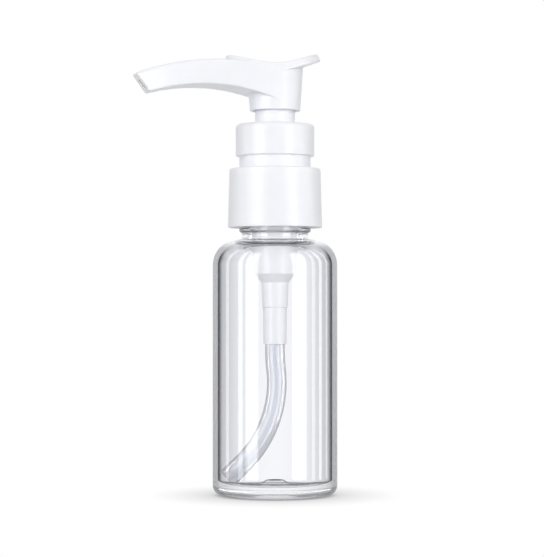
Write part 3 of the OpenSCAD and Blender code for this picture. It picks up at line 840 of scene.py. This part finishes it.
def make_housing():
    """The pump's housing: hub and flange, chamber, valve barrel and the tube's socket."""
    z_flange = Z_GASKET + 1.2
    z_floor = z_flange - 26.6
    z_taper = z_floor + 7.5
    z_barrel = z_floor - 2.4
    z_barrel_low = z_barrel - 7.2
    z_stop = z_barrel_low - 0.2
    z_throat = z_stop + 0.8
    outer, foot, barrel, socket = 6.35, 5.8, 3.75, 3.2
    throat, bore, chamber = 1.0, 2.6, 5.0
    corners = [
        (HUB_R, Z_HUB, 0.3), (HUB_R, z_flange, 0.2), (FLANGE_R, z_flange, 0.2),
        (FLANGE_R, Z_GASKET, 0.2), (outer, Z_GASKET, 0.2), (outer, z_taper, 2.0),
        (foot, z_floor - 0.4, 0.5), (barrel + 0.6, z_barrel + 0.3, 0.6),
        (barrel, z_barrel - 0.4, 0.6), (barrel - 0.25, z_barrel_low, 0.2),
        (socket + 0.1, z_barrel_low, 0.15),
        (socket, Z_SOCKET, 0.2), (TUBE_R, Z_SOCKET, 0.1), (TUBE_R, z_stop, 0),
        (throat, z_stop, 0), (throat, z_throat, 0.1), (bore, z_throat + bore - throat, 0.3),
        (bore, z_floor, 0.3), (chamber, z_floor, 0.2), (chamber, Z_HUB, 0.3),
    ]
    verts, faces = turned(rounded(corners))
    place("housing_shell", verts, faces, "pump", WHITE_BRIGHTENED, ["pump_housing"])


def tube_route():
    """Frames along the dip tube: stop in the socket, bow, long bend, foot."""
    bow_r, bow = 44.0, math.radians(6.7)
    bend_r, foot = 30.0, math.radians(46.0)
    bow_steps, bend_steps = 8, 48
    gap = 0.35      # between the tube's foot and the bottle's wall and floor
    z_stop = high("dip_tube")
    end_x = BOTTLE_R - WALL - gap - TUBE_R * math.cos(foot)
    end_z = FLOOR + gap + TUBE_R * math.sin(foot)
    bow_x = bow_r * (1 - math.cos(bow))
    bow_z = bow_r * math.sin(bow)
    bend_x = bend_r * (math.cos(bow) - math.cos(foot))
    bend_z = bend_r * (math.sin(bow) + math.sin(foot))
    foot_l = (end_x + bow_x - bend_x) / math.sin(foot)
    z_bow = end_z + foot_l * math.cos(foot) + bow_z + bend_z
    stops = [(0.0, z_stop, 0.0)]
    stops += [(bow_r * (1 - math.cos(bow * i / bow_steps)),
               z_bow - bow_r * math.sin(bow * i / bow_steps), -bow * i / bow_steps)
              for i in range(bow_steps + 1)]
    for i in range(1, bend_steps + 1):
        a = -bow + (bow + foot) * i / bend_steps
        stops.append((bow_x - bend_r * (math.cos(bow) - math.cos(a)),
                      z_bow - bow_z - bend_r * (math.sin(bow) + math.sin(a)), a))
    stops.append((-end_x, end_z, foot))
    up = np.array([0.0, 1.0, 0.0])
    return [(np.array([x, 0.0, z]), np.array([math.cos(a), 0.0, -math.sin(a)]), up)
            for x, z, a in stops]


def make_tube():
    """The dip tube: an outer and an inner surface, joined at both ends."""
    sides = 64
    path = tube_route()
    outer, outer_faces = swept(path, TUBE_R, sides)
    inner, inner_faces = swept(path, TUBE_R - TUBE_WALL, sides)
    shift = len(outer)
    last = (len(path) - 1) * sides
    faces = list(outer_faces)
    faces += [tuple(reversed([shift + v for v in face])) for face in inner_faces]
    for k in range(sides):
        n = (k + 1) % sides
        faces.append((n, k, shift + k, shift + n))
        faces.append((last + k, last + n, shift + last + n, shift + last + k))
    place("tube_wall", outer + inner, faces, "pump", TUBE, ["dip_tube"])


def make_spring():
    """The return spring, with one closed turn at each end."""
    sides, per_turn, turns = 16, 48, 8
    wire, mean = 0.35, 3.2
    z_low, z_high = low("spring") + wire, high("spring") - wire
    closed = 2 * wire * 1.05        # rise of a closed turn, with a hair's gap
    opened = (z_high - z_low - 2 * closed) / (turns - 2)

    def height(t):
        """Height of the wire's middle after t turns."""
        if t < 1:
            return z_low + closed * t
        if t > turns - 1:
            return z_high - closed * (turns - t)
        return z_low + closed + opened * (t - 1)

    path = []
    up = np.array([0.0, 0.0, 1.0])
    for i in range(turns * per_turn + 1):
        a = 2 * math.pi * i / per_turn
        out = np.array([math.cos(a), math.sin(a), 0.0])
        path.append((mean * out + np.array([0, 0, height(i / per_turn)]), out, up))
    verts, faces = swept(path, wire, sides)
    last = (len(path) - 1) * sides
    faces.append(tuple(range(sides - 1, -1, -1)))
    faces.append(tuple(last + k for k in range(sides)))
    faces = [tuple(reversed(f)) for f in faces]
    piece = place("spring_coil", verts, faces, "pump", STEEL, ["spring"])
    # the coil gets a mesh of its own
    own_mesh(piece)


def make_head():
    """The actuator: skirt, spout and finger pad, meshed from the distance field."""
    # a box with room round it; the pad's tail goes above the arch's crest
    lo = (-REACH - 1, -SKIRT_R - 2, Z_SKIRT - 1)
    hi = (PAD_TAIL + 1, SKIRT_R + 2, Z_CREST + 5)
    verts, faces = surface_net(head_field, lo, hi, HEAD_STEP)
    place("head_shell", verts, faces, "head", WHITE, ["actuator"])


make_bottle()
make_cap()
make_collar()
make_housing()
make_tube()
make_spring()
make_head()

# CAD nodes that keep their own shape get their finish here
for node, material in (("gasket", SEAL), ("stem", NATURAL), ("valve_stem", NATURAL),
                       ("piston", NATURAL), ("inlet_ball", STEEL)):
    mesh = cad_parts[node].data
    mesh.materials.clear()
    mesh.materials.append(material)


# ---------------------------------------------------------------- stage

def view_axes(azimuth):
    """Unit vectors to the camera's right and from the object to the camera."""
    a = math.radians(azimuth)
    right = Vector((math.cos(a), math.sin(a), 0))
    back = Vector((math.sin(a), -math.cos(a), 0))
    return right, back


def make_camera():
    """Camera level with the photograph's horizon, turned so that its frame falls as there."""
    distance = PIXEL * FOCAL_PX
    height = (STAND_Y - HORIZON_Y) * PIXEL
    right, back = view_axes(AZIMUTH)
    place_at = back * distance + Vector((0, 0, height))
    aim = right * ((FRAME_W / 2 - AXIS_X) * PIXEL)
    aim += Vector((0, 0, height + (HORIZON_Y - FRAME_H / 2) * PIXEL))
    data = bpy.data.cameras.new("camera")
    data.sensor_fit = "HORIZONTAL"
    data.sensor_width = SENSOR
    data.lens = SENSOR * FOCAL_PX / FRAME_W
    data.clip_start = CLIP_NEAR
    data.clip_end = CLIP_FAR
    camera = bpy.data.objects.new("camera", data)
    bpy.context.scene.collection.objects.link(camera)
    camera.location = place_at * MM
    camera.rotation_euler = (aim - place_at).to_track_quat("-Z", "Y").to_euler()
    bpy.context.scene.camera = camera


def white_rays(nodes, links):
    """1 for a ray from the camera, and 1 for one that glass or gloss sends on."""
    path = nodes.new("ShaderNodeLightPath")
    sent_on = combined(nodes, links, "MAXIMUM", path.outputs["Is Glossy Ray"],
                       path.outputs["Is Transmission Ray"])
    return path.outputs["Is Camera Ray"], sent_on


def make_world():
    """White surroundings to look at, and a softer light from them."""
    world = bpy.data.worlds.new("studio")
    bpy.context.scene.world = world
    world.use_nodes = True
    nodes, links = world.node_tree.nodes, world.node_tree.links
    white = combined(nodes, links, "MAXIMUM", *white_rays(nodes, links))
    background = nodes["Background"]
    background.inputs["Color"].default_value = (1, 1, 1, 1)
    # what lights the bottle is weaker overhead
    coords = nodes.new("ShaderNodeTexCoord")
    split = nodes.new("ShaderNodeSeparateXYZ")
    links.new(coords.outputs["Generated"], split.inputs["Vector"])
    sky = nodes.new("ShaderNodeMapRange")
    sky.inputs["To Min"].default_value = SKY_LEVEL
    sky.inputs["To Max"].default_value = SKY_TOP
    links.new(split.outputs["Z"], sky.inputs["Value"])
    strength = combined(nodes, links, "MAXIMUM", white, sky.outputs["Result"])
    links.new(strength, background.inputs["Strength"])


def make_floor():
    """White floor with a painted soft shade round the bottle's foot."""
    mesh = bpy.data.meshes.new("floor")
    half = FLOOR_HALF
    mesh.from_pydata([(-half, -half, 0), (half, -half, 0), (half, half, 0), (-half, half, 0)],
                     [], [(0, 1, 2, 3)])
    floor = bpy.data.objects.new("floor", mesh)
    bpy.context.scene.collection.objects.link(floor)
    material, nodes, links, shader = new_material("floor_white")
    shader.inputs["Roughness"].default_value = 0.9
    shader.inputs["Specular IOR Level"].default_value = 0.0
    shader.inputs["Emission Color"].default_value = (1, 1, 1, 1)
    # painted shade: white where nothing stands close, and dark where the bottle touches down, from
    # ambient occlusion on the floor's glow
    near = nodes.new("ShaderNodeAmbientOcclusion")
    near.samples = SHADE_SAMPLES
    near.inputs["Distance"].default_value = SHADE_REACH
    seen, sent_on = white_rays(nodes, links)
    grey = nodes.new("ShaderNodeMix")
    grey.data_type = "RGBA"
    grey.inputs["A"].default_value = (FLOOR_GREY, FLOOR_GREY, FLOOR_GREY, 1)
    grey.inputs["B"].default_value = (0, 0, 0, 1)
    links.new(combined(nodes, links, "MAXIMUM", seen, sent_on), grey.inputs["Factor"])
    links.new(grey.outputs["Result"], shader.inputs["Base Color"])
    shade = combined(nodes, links, "MULTIPLY_ADD", near.outputs["AO"],
                     CONTACT_SHADE, 1 - CONTACT_SHADE)
    seen = combined(nodes, links, "MULTIPLY", seen, shade)
    links.new(combined(nodes, links, "MAXIMUM", seen, sent_on), shader.inputs["Emission Strength"])
    mesh.materials.append(material)


def make_light(name, azimuth, elevation, distance, size, radiance, glare=False):
    """Soft box at an azimuth from the camera's, facing the bottle, for its light or its glare."""
    a = math.radians(AZIMUTH + azimuth)
    e = math.radians(elevation)
    at = Vector((math.sin(a) * math.cos(e), -math.cos(a) * math.cos(e), math.sin(e))) * distance
    at.z += LAMP_AIM
    data = bpy.data.lights.new(name, "AREA")
    data.shape = "RECTANGLE"
    data.size, data.size_y = size
    data.energy = radiance * math.pi * size[0] * size[1]
    light = bpy.data.objects.new(name, data)
    bpy.context.scene.collection.objects.link(light)
    light.location = at
    light.rotation_euler = (Vector((0, 0, LAMP_AIM)) - at).to_track_quat("-Z", "Y").to_euler()
    light.visible_camera = False
    light.visible_transmission = glare and abs(azimuth) < FACING
    light.visible_diffuse = not glare
    light.visible_glossy = glare


make_camera()
make_world()
make_floor()
make_light("front", 0, FRONT_UP, FRONT_FAR, FRONT_SIZE, FRONT_RADIANCE)
for i, (azimuth, width, radiance) in enumerate(GLARE):
    make_light(f"strip_{i + 1}", azimuth, 0, STRIP_FAR, (width, STRIP_H), radiance, glare=True)

bpy.context.scene.view_settings.view_transform = "Standard"
